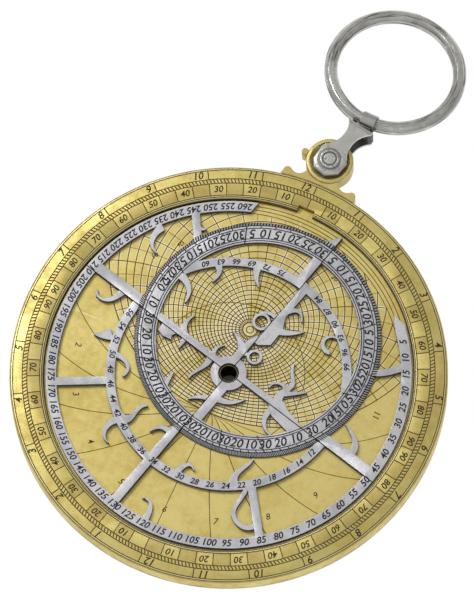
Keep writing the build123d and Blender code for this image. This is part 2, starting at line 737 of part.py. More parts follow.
def make_shackle_washer(side):
    """A washer between a leg and the floor of the drum's recess."""
    outline = Circle(shackle_washer_radius) - Circle(rivet_shank_radius + run_gap)
    floor = drum_half - drum_recess_depth + run_gap
    washer = plate(outline, floor, strap_inner_half - run_gap)
    return shackle_frame() * Rot(0 if side > 0 else 180, 0, 0) * washer


def make_suspension_ring():
    """The facetted finger ring, which hangs in the bow and rests on what carries the astrolabe."""
    half = wire_radius
    section = Rectangle(2 * half, 2 * half)
    section = chamfer(section.vertices(), ring_facet)
    profile = Plane.XZ * Pos(ring_mid_radius, 0) * section
    ring = revolve(profile, Axis.Z, 360)
    placed = Rot(-ring_rest_drop, 0, 0) * Pos(0, ring_mid_radius, 0) * ring
    return shackle_frame() * bow_frame() * placed


pieces = {
    "back_plate": make_back_plate(),
    "limb_ring": make_limb_ring(),
    "throne": make_throne(),
    "throne_pin_left": make_throne_pin(-1),
    "throne_pin_right": make_throne_pin(1),
    "rete": make_rete(),
    "centre_tube": make_centre_tube(),
    "alidade_washer": make_alidade_washer(),
    "alidade": make_alidade(),
    "shackle": make_shackle(),
    "shackle_rivet": make_shackle_rivet(),
    "shackle_washer_front": make_shackle_washer(1),
    "shackle_washer_back": make_shackle_washer(-1),
    "suspension_ring": make_suspension_ring(),
}
for level, name in enumerate(tympan_names):
    pieces[name] = make_tympan(level)
for letter, side in (("a", 1), ("b", -1)):
    pieces["hinge_block_" + letter] = make_hinge_block(side)
    pieces["sight_vane_" + letter] = make_sight_vane(side)
    pieces["hinge_pin_" + letter] = make_hinge_pin(side)
    for index in range(len(block_rivet_places())):
        pieces["block_rivet_" + letter + str(index + 1)] = make_block_rivet(side, index)

os.makedirs("parts", exist_ok=True)
for name, piece in pieces.items():
    piece.label = name
    export_step(piece, "parts/" + name + ".step")
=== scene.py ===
import logging
from dataclasses import dataclass
from enum import Enum
from math import atan2, cos, degrees, pi, radians, sin, sqrt, tan
from typing import Callable, Sequence

import bmesh
import bpy
from mathutils import Matrix, Vector


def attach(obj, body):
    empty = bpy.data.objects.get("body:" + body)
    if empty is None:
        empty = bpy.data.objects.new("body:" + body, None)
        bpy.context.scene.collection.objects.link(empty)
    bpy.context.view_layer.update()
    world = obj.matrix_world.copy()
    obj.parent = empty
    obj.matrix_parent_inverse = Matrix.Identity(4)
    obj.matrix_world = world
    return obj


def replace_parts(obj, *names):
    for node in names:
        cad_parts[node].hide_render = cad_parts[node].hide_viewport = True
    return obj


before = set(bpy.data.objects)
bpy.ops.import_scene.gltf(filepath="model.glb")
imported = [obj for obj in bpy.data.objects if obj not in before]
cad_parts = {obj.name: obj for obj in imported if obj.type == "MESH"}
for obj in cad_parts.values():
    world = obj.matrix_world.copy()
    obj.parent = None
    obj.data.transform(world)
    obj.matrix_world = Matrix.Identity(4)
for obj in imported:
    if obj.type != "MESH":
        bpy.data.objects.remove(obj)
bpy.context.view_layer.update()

log = logging.getLogger("astrolabe")

MM = 0.001
DISC_RADIUS = 50.0
WELL_RADIUS = 42.3
FACE_HEIGHT = 5.0
PLATES_TOP = 3.6
RETE_TOP = 4.65
RETE_TURN = -14.5
ECLIPTIC_OFFSET = 10.6
ECLIPTIC_RADIUS = 28.3
ECLIPTIC_WIDTH = 5.0
EQUATOR_RADIUS = 27.0
RETE_RIM_MIDDLE = 40.55
OBLIQUITY = 23.44
PLATE_EQUATOR = 26.5
PLATE_LATITUDE = 42.0
DRUM_HEIGHT = 56.3
RING_CENTRE = (4.15, 84.2)
WHITE = (1.0, 1.0, 1.0, 1.0)


def tone(code: str) -> tuple[float, float, float, float]:
    """The linear colour of a hex code.

    Args:
        code: Six hex digits, as on a paint card.

    Returns:
        Red, green, blue and 1.
    """
    parts = [int(code[i:i + 2], 16) / 255 for i in (0, 2, 4)]
    linear = [p / 12.92 if p <= 0.04045 else ((p + 0.055) / 1.055) ** 2.4 for p in parts]
    return (linear[0], linear[1], linear[2], 1.0)


def bearing_point(radius: float, bearing: float) -> tuple[float, float]:
    """The point at a radius and a bearing, clockwise from 12 o'clock."""
    return radius * sin(radians(bearing)), radius * cos(radians(bearing))


class Grain(Enum):
    """How a surface was worked."""

    TURNED = "turned"
    ROLLED = "rolled"
    CAST = "cast"


class Value:
    """A shader socket that takes part in Python arithmetic."""

    def __init__(self, kit: "Shader", socket: bpy.types.NodeSocket | None) -> None:
        """Keeps the socket, if the node has one, and the tree that it is in."""
        self.kit = kit
        self.socket = socket

    def _math(self, operation: str, *others: "Value | float") -> "Value":
        """A Math node on this value and the others."""
        inputs: dict[int, Value | float] = {0: self}
        for index, other in enumerate(others):
            inputs[index + 1] = other
        return self.kit.node("ShaderNodeMath", {"operation": operation}, inputs)

    def _swapped(self, operation: str, other: "Value | float") -> "Value":
        """A Math node with the other value first."""
        return self.kit.node("ShaderNodeMath", {"operation": operation}, {0: other, 1: self})

    def __add__(self, other: "Value | float") -> "Value":
        """This plus the other."""
        return self._math("ADD", other)

    __radd__ = __add__

    def __sub__(self, other: "Value | float") -> "Value":
        """This minus the other."""
        return self._math("SUBTRACT", other)

    def __rsub__(self, other: "Value | float") -> "Value":
        """The other minus this."""
        return self._swapped("SUBTRACT", other)

    def __mul__(self, other: "Value | float") -> "Value":
        """This times the other."""
        return self._math("MULTIPLY", other)

    __rmul__ = __mul__

    def __truediv__(self, other: "Value | float") -> "Value":
        """This divided by the other."""
        return self._math("DIVIDE", other)

    def __rtruediv__(self, other: "Value | float") -> "Value":
        """The other divided by this."""
        return self._swapped("DIVIDE", other)

    def __pow__(self, other: "Value | float") -> "Value":
        """This to the power of the other."""
        return self._math("POWER", other)

    def __neg__(self) -> "Value":
        """Minus this."""
        return self * -1.0

    def __abs__(self) -> "Value":
        """The size of this."""
        return self._math("ABSOLUTE")

    def __lt__(self, other: "Value | float") -> "Value":
        """1 where this is less."""
        return self._math("LESS_THAN", other)

    def __gt__(self, other: "Value | float") -> "Value":
        """1 where this is greater."""
        return self._math("GREATER_THAN", other)

    def fract(self) -> "Value":
        """The part after the point."""
        return self._math("FRACT")

    def floor(self) -> "Value":
        """The whole number below."""
        return self._math("FLOOR")

    def root(self) -> "Value":
        """The square root."""
        return self._math("SQRT")

    def sin(self) -> "Value":
        """The sine."""
        return self._math("SINE")

    def cos(self) -> "Value":
        """The cosine."""
        return self._math("COSINE")

    def arccos(self) -> "Value":
        """The angle with this cosine."""
        return self._math("ARCCOSINE")

    def arcsin(self) -> "Value":
        """The angle with this sine."""
        return self._math("ARCSINE")

    def arctan2(self, other: "Value | float") -> "Value":
        """The angle of the point with this as y and the other as x."""
        return self._math("ARCTAN2", other)

    def least(self, other: "Value | float") -> "Value":
        """The lesser of the two."""
        return self._math("MINIMUM", other)

    def most(self, other: "Value | float") -> "Value":
        """The greater of the two."""
        return self._math("MAXIMUM", other)

    def between(self, low: float, high: float) -> "Value":
        """1 between the two limits."""
        return (self > low) * (self < high)

    def ramp(self, low: float, high: float, start: float = 0.0, end: float = 1.0) -> "Value":
        """A smooth step.

        Args:
            low: Where the step starts.
            high: Where it ends.
            start: The value below low.
            end: The value above high.

        Returns:
            The stepped value.
        """
        settings = {"interpolation_type": "SMOOTHSTEP", "clamp": True}
        return self.kit.node("ShaderNodeMapRange", settings, {0: self, 1: low, 2: high, 3: start, 4: end})

    def line(self, width: float) -> "Value":
        """1 where this distance is within half a line's width, with soft edges."""
        return self.ramp(width * 0.25, width * 0.62, 1.0, 0.0)


class Shader:
    """The node tree of a material or a world."""

    def __init__(self, name: str) -> None:
        """Starts an empty material."""
        self.material = bpy.data.materials.new(name)
        self._start(self.material)

    def _start(self, owner: bpy.types.Material | bpy.types.World) -> None:
        """Empties the owner's tree."""
        owner.use_nodes = True
        self.tree = owner.node_tree
        self.tree.nodes.clear()
        self._coordinates: Value | None = None

    @classmethod
    def of(cls, world: bpy.types.World) -> "Shader":
        """The tree of a world, emptied."""
        kit = cls.__new__(cls)
        kit._start(world)
        return kit

    def node(self, kind: str, settings: dict | None = None, inputs: dict | None = None,
             output: int | str = 0) -> Value:
        """Makes any node.

        Args:
            kind: The node's type.
            settings: Its properties, and the stops of a ramp as {"stops": [(place, colour), ...]}.
            inputs: Values or links by the socket's name or number.
            output: The output that is wanted.

        Returns:
            The output as a value.
        """
        made = self.tree.nodes.new(kind)
        for key, setting in (settings or {}).items():
            if key == "stops":
                ramp = made.color_ramp
                while len(ramp.elements) < len(setting):
                    ramp.elements.new(0.5)
                for element, (place, colour) in zip(ramp.elements, setting):
                    element.position = place
                    element.color = colour
            else:
                setattr(made, key, setting)
        for key, entry in (inputs or {}).items():
            if isinstance(entry, Value):
                self.tree.links.new(entry.socket, made.inputs[key])
            else:
                made.inputs[key].default_value = entry
        return Value(self, made.outputs[output] if made.outputs else None)

    def place(self) -> Value:
        """The object's own coordinates, in metres."""
        if self._coordinates is None:
            self._coordinates = self.node("ShaderNodeTexCoord", output="Object")
        return self._coordinates

    def turned(self, turn: float) -> Value:
        """Coordinates in millimetres on a pattern that is turned about the centre.

        Args:
            turn: Degrees counter-clockwise by which the pattern is turned.

        Returns:
            The vector.
        """
        inputs = {"Vector": self.place(), "Rotation": (0.0, 0.0, radians(-turn)),
                  "Scale": (1 / MM, 1 / MM, 1 / MM)}
        return self.node("ShaderNodeMapping", {"vector_type": "POINT"}, inputs)

    def split(self, vector: Value) -> tuple[Value, Value, Value]:
        """The three parts of a vector."""
        first = self.node("ShaderNodeSeparateXYZ", inputs={0: vector})
        outputs = first.socket.node.outputs
        return Value(self, outputs[0]), Value(self, outputs[1]), Value(self, outputs[2])

    def mix(self, share: Value | float, first: Value | Sequence[float], second: Value | Sequence[float],
            blend: str = "MIX") -> Value:
        """A mix of two colours."""
        settings = {"data_type": "RGBA", "blend_type": blend}
        return self.node("ShaderNodeMix", settings, {0: share, 6: first, 7: second}, output=2)

    def noise(self, vector: Value, scale: float, detail: float = 3.0, roughness: float = 0.55) -> Value:
        """A cloudy pattern from 0 to 1."""
        inputs = {"Vector": vector, "Scale": scale, "Detail": detail, "Roughness": roughness}
        return self.node("ShaderNodeTexNoise", {"noise_dimensions": "3D"}, inputs)

    def stretched(self, vector: Value, factors: tuple[float, float, float],
                  turn: float = 0.0) -> Value:
        """The vector stretched by factors and turned about Z."""
        inputs = {"Vector": vector, "Rotation": (0.0, 0.0, radians(turn)), "Scale": factors}
        return self.node("ShaderNodeMapping", {"vector_type": "POINT"}, inputs)

    def join(self, x: Value | float, y: Value | float, z: Value | float) -> Value:
        """A vector from three values."""
        return self.node("ShaderNodeCombineXYZ", inputs={0: x, 1: y, 2: z})

    def finish(self, colour: Value, roughness: Value | float, metallic: Value | float,
               height: Value | None, depth: float = 0.02, strength: float = 1.0) -> bpy.types.Material:
        """Closes the tree with a metal surface.

        Args:
            colour: The base colour.
            roughness: The roughness.
            metallic: How metallic the surface is.
            height: The relief from 0 to 1, if any.
            depth: The depth of the relief in millimetres.
            strength: The strength of the relief.

        Returns:
            The material.
        """
        inputs: dict[str, Value | float] = {"Base Color": colour, "Roughness": roughness,
                                            "Metallic": metallic}
        if height is not None:
            relief = {"Strength": strength, "Distance": depth * MM, "Height": height}
            inputs["Normal"] = self.node("ShaderNodeBump", inputs=relief)
        surface = self.node("ShaderNodeBsdfPrincipled", inputs=inputs)
        self.node("ShaderNodeOutputMaterial", inputs={"Surface": surface})
        return self.material


@dataclass(frozen=True)
class Engraving:
    """Lines cut in a surface, with painted shade, as one mask; the parts darkened by fine strokes or by
    painted shade; and painted highlights.
    """

    lines: Value
    shade: Value | float = 0.0
    painted_highlight: Value | float = 0.0


@dataclass(frozen=True)
class MetalFinish:
    """An old metal surface: its colours, its gloss and its wear."""

    name: str
    bright: str
    dull: str
    stain_and_shade: str
    ink_and_shade: str
    gloss: float = 0.34
    metallic: float = 0.9
    grain: Grain = Grain.ROLLED
    pits: float = 0.4
    line_depth: float = 0.05

    def make(self, engrave: Callable[[Shader], Engraving] | None = None,
             turn: float = 0.0) -> bpy.types.Material:
        """Makes the material.

        Args:
            engrave: Makes the engraving in the material's tree.
            turn: The turn of the piece's own pattern in degrees.

        Returns:
            The material.
        """
        kit = Shader(self.name)
        place = kit.turned(turn)
        cloud = kit.noise(place, 0.09, 4.0, 0.6)
        patch = kit.noise(place, 0.55, 4.0, 0.65)
        speck = kit.noise(place, 4.2, 3.0, 0.6)
        if self.grain is Grain.TURNED:
            x, y, z = kit.split(place)
            radius = (x * x + y * y).root()
            brush = kit.noise(kit.join(radius * 9.0, z * 9.0, x * 0.08), 1.0, 2.0)
        elif self.grain is Grain.ROLLED:
            brush = kit.noise(kit.stretched(place, (0.5, 9.0, 3.0), 28.0), 1.0, 3.0)
        else:
            brush = kit.noise(place, 2.4, 4.0, 0.7)
        worn = (cloud * 0.55 + patch * 0.45).ramp(0.36, 0.66)
        colour = kit.mix(worn, tone(self.dull), tone(self.bright))
        stained = patch.ramp(0.56, 0.74) * speck.ramp(0.42, 0.66) * self.pits
        colour = kit.mix(stained, colour, tone(self.stain_and_shade))
        roughness = self.gloss + (1.0 - worn) * 0.14 + (brush - 0.5) * 0.16 + stained * 0.2
        height = brush * 0.10 + speck * 0.10 + stained * -0.2
        metallic: Value | float = self.metallic - stained * 0.3
        if engrave is not None:
            cut = engrave(kit)
            # The shade mask darkens towards the stain colour: hatching strokes and painted shade.
            colour = kit.mix(cut.shade, colour, kit.mix(0.55, colour, tone(self.stain_and_shade)))
            # The lines mask takes the ink colour: engraved lines and painted shade.
            colour = kit.mix(cut.lines, colour, tone(self.ink_and_shade))
            # Painted highlight: pale gold where the highlight mask is.
            colour = kit.mix(cut.painted_highlight, colour, tone("FFF6D8"))
            roughness = roughness + cut.lines * 0.25
            metallic = metallic - cut.lines * 0.55
            height = height - cut.lines * 1.0
        return kit.finish(colour, roughness, metallic, height, self.line_depth)


LIMB_BRASS = MetalFinish("limb_brass_engraved", "E4D488", "C9B568", "80602E", "4A3312", gloss=0.36,
                         grain=Grain.TURNED)
PLATE_BRASS = MetalFinish("plate_brass_engraved", "E8D68A", "CDB86A", "9A6F34", "5A3E18", gloss=0.36,
                          grain=Grain.ROLLED, pits=0.3)
THRONE_BRASS = MetalFinish("throne_brass", "DCCC86", "C0AD66", "76602E", "332814", gloss=0.34,
                           grain=Grain.CAST, pits=0.6)
BACK_BRASS = MetalFinish("back_brass", "CDBB7C", "AD9555", "6E5A30", "4A3A1C", gloss=0.36,
                         grain=Grain.TURNED, pits=0.4)
# A darkened copy of brass: painted shade for the narrow bore of the centre tube.
SHADED_TUBE_BRASS = MetalFinish("tube_brass", "8C7E5A", "5E533A", "32291A", "120E08", gloss=0.4,
                         grain=Grain.TURNED, pits=0.6)
RETE_SILVER = MetalFinish("rete_silver", "D9D8DB", "B6B5BA", "6C686A", "161416", gloss=0.38,
                          metallic=0.8, grain=Grain.ROLLED, pits=0.95)
RING_SILVER = MetalFinish("ring_silver", "DAD9D4", "B2B1AB", "504F4A", "1C1A18", gloss=0.22,
                          metallic=0.9, grain=Grain.CAST, pits=0.45)
DARK_INK = MetalFinish("engraving_fill", "453517", "35280F", "241B0C", "1A150C", gloss=0.6,
                       metallic=0.2, grain=Grain.CAST, pits=0.2)
BLACK_INK = MetalFinish("engraving_fill_dark", "222022", "171617", "121112", "0C0C0C", gloss=0.55,
                        metallic=0.2, grain=Grain.CAST, pits=0.2)


@dataclass(frozen=True)
class Numeral:
    """One numeral cut in a face.

    The top of the numeral points away from the centre of its dial unless it is inward.
    """

    words: str
    radius: float
    bearing: float
    height: float
    inward: bool = False
    centre: tuple[float, float] = (0.0, 0.0)


class Maker:
    """Makes the meshes that the sub-assemblies share."""

    @staticmethod
    def piece(name: str, mesh: bpy.types.Mesh, body: str, slot: str, material: bpy.types.Material,
              smooth: float = 21.0) -> bpy.types.Object:
        """Puts a mesh in the scene as a piece of the object.

        Args:
            name: The piece's name.
            mesh: Its mesh, in place.
            body: The body that it rides on.
            slot: The record's material slot; not used.
            material: Its material.
            smooth: The angle under which faces shade as one surface.

        Returns:
            The piece.
        """
        made = bpy.data.objects.new(name, mesh)
        bpy.context.scene.collection.objects.link(made)
        mesh.materials.clear()
        mesh.materials.append(material)
        mesh.polygons.foreach_set("use_smooth", [True] * len(mesh.polygons))
        mesh.set_sharp_from_angle(angle=radians(smooth))
        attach(made, body)
        log.info("piece %s: %d faces on %s", name, len(mesh.polygons), body)
        return made

    @staticmethod
    def merged(node: str) -> bmesh.types.BMesh:
        """A merged copy of a CAD node's mesh, with its flat faces whole."""
        bm = bmesh.new()
        bm.from_mesh(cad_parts[node].data)
        bmesh.ops.remove_doubles(bm, verts=bm.verts, dist=0.0005 * MM)
        bmesh.ops.dissolve_limit(bm, angle_limit=radians(0.6), use_dissolve_boundaries=False,
                                 verts=bm.verts, edges=bm.edges)
        return bm

    @classmethod
    def softened(cls, node: str, width: float, segments: int = 2, angle: float = 32.0) -> bpy.types.Mesh:
        """A copy of a CAD node with its sharp edges worn round.

        Args:
            node: The CAD node.
            width: The width of the worn edge in millimetres.
            segments: How many faces round the edge.
            angle: The angle over which an edge counts as sharp.

        Returns:
            The mesh.
        """
        bm = cls.merged(node)
        sharp = [e for e in bm.edges if len(e.link_faces) == 2 and e.calc_face_angle() > radians(angle)]
        bmesh.ops.bevel(bm, geom=sharp, offset=width * MM, offset_type="OFFSET", segments=segments,
                        profile=0.5, affect="EDGES", clamp_overlap=False, material=-1)
        mesh = bpy.data.meshes.new(node + "_worn")
        bm.to_mesh(mesh)
        bm.free()
        return mesh

    @staticmethod
    def numerals(name: str, items: Sequence[Numeral], height: float, turn: float = 0.0,
                 weight: float = 0.03, lean: float = 0.18) -> bpy.types.Mesh:
        """Numerals cut in a flat face, as one mesh that fills the cuts.

        Args:
            name: The mesh's name.
            items: The numerals.
            height: The face's height in millimetres.
            turn: The turn of the whole dial in degrees, counter-clockwise.
            weight: How much bolder than plain.
            lean: How far the numerals lean.

        Returns:
            The mesh.
        """
        bm = bmesh.new()
        made: dict[tuple[str, float], bpy.types.Mesh] = {}
        for item in items:
            key = (item.words, item.height)
            if key not in made:
                curve = bpy.data.curves.new("numeral", "FONT")
                curve.body = item.words
                curve.size = item.height / 0.72
                curve.align_x = "CENTER"
                curve.align_y = "CENTER"
                curve.shear = lean
                curve.offset = weight
                curve.resolution_u = 3
                curve.extrude = 0.006
                holder = bpy.data.objects.new("numeral", curve)
                made[key] = bpy.data.meshes.new_from_object(holder)
                bpy.data.objects.remove(holder)
                bpy.data.curves.remove(curve)
            copy = made[key].copy()
            x, y = bearing_point(item.radius, item.bearing)
            spin = -item.bearing + (180.0 if item.inward else 0.0)
            at = Matrix.Translation((item.centre[0] + x, item.centre[1] + y, 0.0))
            at = Matrix.Rotation(radians(turn), 4, "Z") @ at @ Matrix.Rotation(radians(spin), 4, "Z")
            at = Matrix.Scale(MM, 4) @ Matrix.Translation((0, 0, height + 0.004)) @ at
            copy.transform(at)
            bm.from_mesh(copy)
            bpy.data.meshes.remove(copy)
        for mesh in made.values():
            bpy.data.meshes.remove(mesh)
        mesh = bpy.data.meshes.new(name)
        bm.to_mesh(mesh)
        bm.free()
        return mesh


def polar_values(kit: Shader, x: Value, y: Value) -> tuple[Value, Value]:
    """Radius and bearing in degrees, clockwise from 12 o'clock, from 0 to 360."""
    radius = (x * x + y * y).root()
    bearing = x.arctan2(y) * (180 / pi)
    return radius, bearing + (bearing < 0.0) * 360.0


def spokes(radius: Value, bearing: Value, step: float, width: float) -> Value:
    """Radial lines every so many degrees."""
    away = abs((bearing / step + 0.5).fract() - 0.5) * (step * pi / 180) * radius
    return away.line(width)


@dataclass
class Mater:
    """The mater with its limb, its plates and the throne."""

    hour_outer: float = 49.25
    hour_inner: float = 47.05
    ladder_inner: float = 46.0
    box_inner: float = 43.05
    bead_outer: float = 42.98
    bead_inner: float = 42.66
    numeral_height: float = 1.75
    degree_height: float = 1.55
    line_width: float = 0.21

    def engrave_limb(self, kit: Shader) -> Engraving:
        """The hour circle, the degree ladder and the boxes of the degree numerals, with painted shade (a
        dark line by the outer edge, a dark line at the inner bead, the well's inner wall darkened) and
        painted highlights along the beads.
        """
        x, y, z = kit.split(kit.turned(0.0))
        radius, bearing = polar_values(kit, x, y)
        lines = abs(radius - self.hour_outer).line(self.line_width)
        for circle in (self.hour_inner, self.ladder_inner, self.box_inner):
            lines = lines.most(abs(radius - circle).line(self.line_width))
        hours = spokes(radius, bearing, 15.0, self.line_width * 1.15)
        lines = lines.most(hours * radius.between(self.hour_inner, self.hour_outer))
        boxes = spokes(radius, bearing, 5.0, self.line_width)
        lines = lines.most(boxes * radius.between(self.box_inner, self.ladder_inner))
        across = (radius - self.ladder_inner) / (self.hour_inner - self.ladder_inner)
        slant = (bearing + (across - 0.5) * 0.55).fract()
        rope = abs(slant - 0.5).ramp(0.10, 0.26, 1.0, 0.0) * abs(across - 0.5).ramp(0.34, 0.5, 1.0, 0.0)
        lines = lines.most(rope * 0.9 * radius.between(self.ladder_inner, self.hour_inner))
        odd = ((bearing / 10.0).fract() > 0.5) * radius.between(self.box_inner, self.ladder_inner)
        strokes = abs((radius * 3.2).fract() - 0.5).ramp(0.1, 0.4, 0.9, 0.25)
        face = z > FACE_HEIGHT - 0.3
        # Painted shadow: a dark line by the outer edge and a dark line at the inner bead.
        edge_painted_shade = abs(radius - 49.66).line(0.12).most(abs(radius - self.bead_inner).line(0.2))
        # Painted highlights: bright lines along the beads of the mouldings.
        bead_painted_highlights = abs(radius - (self.bead_outer + self.bead_inner) / 2).line(0.16)
        bead_painted_highlights = bead_painted_highlights.most(abs(radius - 42.48).line(0.14)).most(abs(radius - 49.45).line(0.14))
        # Painted shade: the inner wall of the well is darkened.
        painted_wall_shade = (radius < WELL_RADIUS + 0.02) * 0.75
        return Engraving((lines.most(edge_painted_shade) * face).most(painted_wall_shade), odd * strokes * face * 0.8,
                         bead_painted_highlights * face * 0.5)

    def engrave_plate(self, kit: Shader) -> Engraving:
        """Altitude circles and azimuths above the horizon, and hours below it, with painted highlights
        beside the lines and along the axes.
        """
        x, y, z = kit.split(kit.turned(0.0))
        u = x / PLATE_EQUATOR
        v = y / PLATE_EQUATOR
        square = u * u + v * v
        across = 2.0 * u / (1.0 + square)
        along = 2.0 * v / (1.0 + square)
        up = (1.0 - square) / (1.0 + square)
        tilt = radians(PLATE_LATITUDE)
        altitude_sine = along * cos(tilt) + up * sin(tilt)
        north = up * cos(tilt) - along * sin(tilt)
        grain = (1.0 + square) * (PLATE_EQUATOR / 2 * pi / 180)
        altitude = altitude_sine.arcsin() * (180 / pi)
        azimuth = across.arctan2(north) * (180 / pi)
        above = altitude > 0.0
        circle_away = abs((altitude / 3.0 + 0.5).fract() - 0.5) * 3.0 * grain
        circles = circle_away.line(0.23) * above
        span = (across * across + north * north).root()
        fine = abs((azimuth / 10.0 + 0.5).fract() - 0.5) * 10.0 * grain * span
        azimuths = fine.line(0.2) * above * (altitude < 84.0)
        finer = abs((azimuth / 5.0 + 0.5).fract() - 0.5) * 5.0 * grain * span
        azimuths = azimuths.most(finer.line(0.13) * above * (altitude < 60.0) * 0.7)
        horizon = (abs(altitude) * grain).line(0.26)
        radius = (x * x + y * y).root()
        declination_tangent = (1.0 - square) / (2.0 * square.root())
        rise = (declination_tangent * (-tan(tilt))).most(-1.0).least(1.0).arccos()
        hour_angle = abs(x.arctan2(y))
        night = (hour_angle - rise) / (pi - rise + 0.0001)
        hour_away = abs((night * 6.0 + 0.5).fract() - 0.5) / 6.0 * (pi - rise) * radius
        hours = hour_away.line(0.19) * (1.0 - above) * (radius < 39.4)
        tropics = abs(radius - PLATE_EQUATOR).line(0.19)
        for circle in (PLATE_EQUATOR * tan(radians(45 - OBLIQUITY / 2)), 39.4, 40.3, 41.2):
            tropics = tropics.most(abs(radius - circle).line(0.17))
        axes = abs(x).line(0.16).most(abs(y).line(0.16)) * (radius < 40.3)
        inside = radius < 39.4
        lines = (circles.most(azimuths).most(horizon) * inside).most(hours).most(tropics)
        # Painted highlight: thin bright lines beside the azimuths and altitude circles and along the axes,
        # broken up by noise.
        painted_edge_highlight = abs(fine - 0.22).line(0.16) * above * inside
        painted_edge_highlight = painted_edge_highlight.most(abs(circle_away - 0.24).line(0.16) * above * inside * 0.6).most(axes)
        gleam = kit.noise(kit.turned(0.0), 0.16, 2.0).ramp(0.36, 0.54)
        return Engraving(lines * (z > PLATES_TOP - 0.1) * 0.95, 0.0, painted_edge_highlight * gleam * (1.0 - lines) * 0.9)

    def engrave_back(self, kit: Shader) -> Engraving:
        """The altitude scale round the back and its four quarters."""
        x, y, z = kit.split(kit.turned(0.0))
        radius, bearing = polar_values(kit, x, y)
        lines = abs(radius - self.hour_outer).line(self.line_width)
        for circle in (self.hour_inner, self.ladder_inner, self.box_inner):
            lines = lines.most(abs(radius - circle).line(self.line_width))
        fives = spokes(radius, bearing, 5.0, self.line_width)
        lines = lines.most(fives * radius.between(self.ladder_inner, self.hour_outer))
        ones = spokes(radius, bearing, 1.0, self.line_width * 0.7)
        lines = lines.most(ones * radius.between(self.ladder_inner, self.hour_inner))
        axes = abs(x).least(abs(y)).line(self.line_width)
        lines = lines.most(axes * (radius < self.box_inner))
        return Engraving(lines * (z < 0.2))

    @staticmethod
    def drum_darkening(kit: Shader) -> Engraving:
        """Darker in a ring round the eye of the shackle in the drum's recess, and darker at mid height
        round z = 2.5 mm.
        """
        x, y, z = kit.split(kit.turned(0.0))
        lift = y - DRUM_HEIGHT
        radius = (x * x + lift * lift).root()
        eye_ring_dark = radius.ramp(4.05, 4.6, 0.72, 0.0)
        middle_dark = abs(z - 2.5).ramp(1.6, 2.3, 0.45, 0.0)
        return Engraving(eye_ring_dark, middle_dark)

    @staticmethod
    def bore_painted_shade(kit: Shader) -> Engraving:
        """Painted shade: black in the bore of the centre tube."""
        x, y, z = kit.split(kit.turned(0.0))
        radius = (x * x + y * y).root()
        return Engraving(radius.ramp(1.92, 2.05, 1.0, 0.0) * (z < 4.1))

    def limb_numerals(self) -> list[Numeral]:
        """The hours twice round the limb and the degrees in four quarters."""
        items = []
        for hour in range(24):
            middle = (self.hour_outer + self.hour_inner) / 2
            back = 2.0 if hour % 12 + 1 < 10 else 2.9
            items.append(Numeral(str(hour % 12 + 1), middle, (hour + 1) * 15.0 - back, self.numeral_height))
        for quarter in range(4):
            for ten in range(1, 10):
                middle = (self.ladder_inner + self.box_inner) / 2
                away = ten * 10 - 2.5
                bearing = away if quarter % 2 == 0 else 180.0 - away
                bearing = bearing if quarter < 2 else -bearing
                items.append(Numeral(str(ten * 10), middle, bearing, self.degree_height))
        return items

    def plate_numerals(self) -> list[Numeral]:
        """The hours of the night and some azimuths on the top plate."""
        items = []
        for index in range(11):
            angle = radians(180.0 - (index - 5) * 19.5)
            items.append(Numeral(str(index + 1), 35.2, degrees(angle) % 360, 1.5, True))
        for index in range(-5, 6):
            if index:
                items.append(Numeral(str(abs(index) * 10), 33.5, index * 11.0, 1.2, False))
        return items

    def build(self) -> None:
        """Makes the pieces of the mater."""
        limb = Maker.softened("limb_ring", 0.08)
        material = LIMB_BRASS.make(self.engrave_limb)
        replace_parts(Maker.piece("limb_worn", limb, "mater", "limb_brass", material), "limb_ring")
        back = Maker.softened("back_plate", 0.08)
        material = BACK_BRASS.make(self.engrave_back)
        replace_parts(Maker.piece("back_plate_worn", back, "mater", "brass", material), "back_plate")
        throne = Maker.softened("throne", 0.12)
        material = THRONE_BRASS.make(self.drum_darkening)
        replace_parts(Maker.piece("throne_worn", throne, "mater", "limb_brass", material), "throne")
        plain = BACK_BRASS.make()
        for node in ("tympan_lower", "tympan_middle", "throne_pin_left", "throne_pin_right",
                     "alidade_washer"):
            self.dress(node, plain)
        self.dress("tympan_upper", PLATE_BRASS.make(self.engrave_plate))
        self.dress("centre_tube", SHADED_TUBE_BRASS.make(self.bore_painted_shade))
        mesh = Maker.numerals("limb_numerals", self.limb_numerals(), FACE_HEIGHT, weight=0.045)
        Maker.piece("limb_numerals", mesh, "mater", "limb_brass", DARK_INK.make())
        mesh = Maker.numerals("plate_numerals", self.plate_numerals(), PLATES_TOP, weight=0.015)
        Maker.piece("plate_numerals", mesh, "mater", "plate_brass", DARK_INK.make())

    @staticmethod
    def dress(node: str, material: bpy.types.Material) -> None:
        """Gives a CAD node its material."""
        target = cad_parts[node]
        if target.material_slots:
            for slot in target.material_slots:
                slot.material = material
        else:
            target.data.materials.append(material)


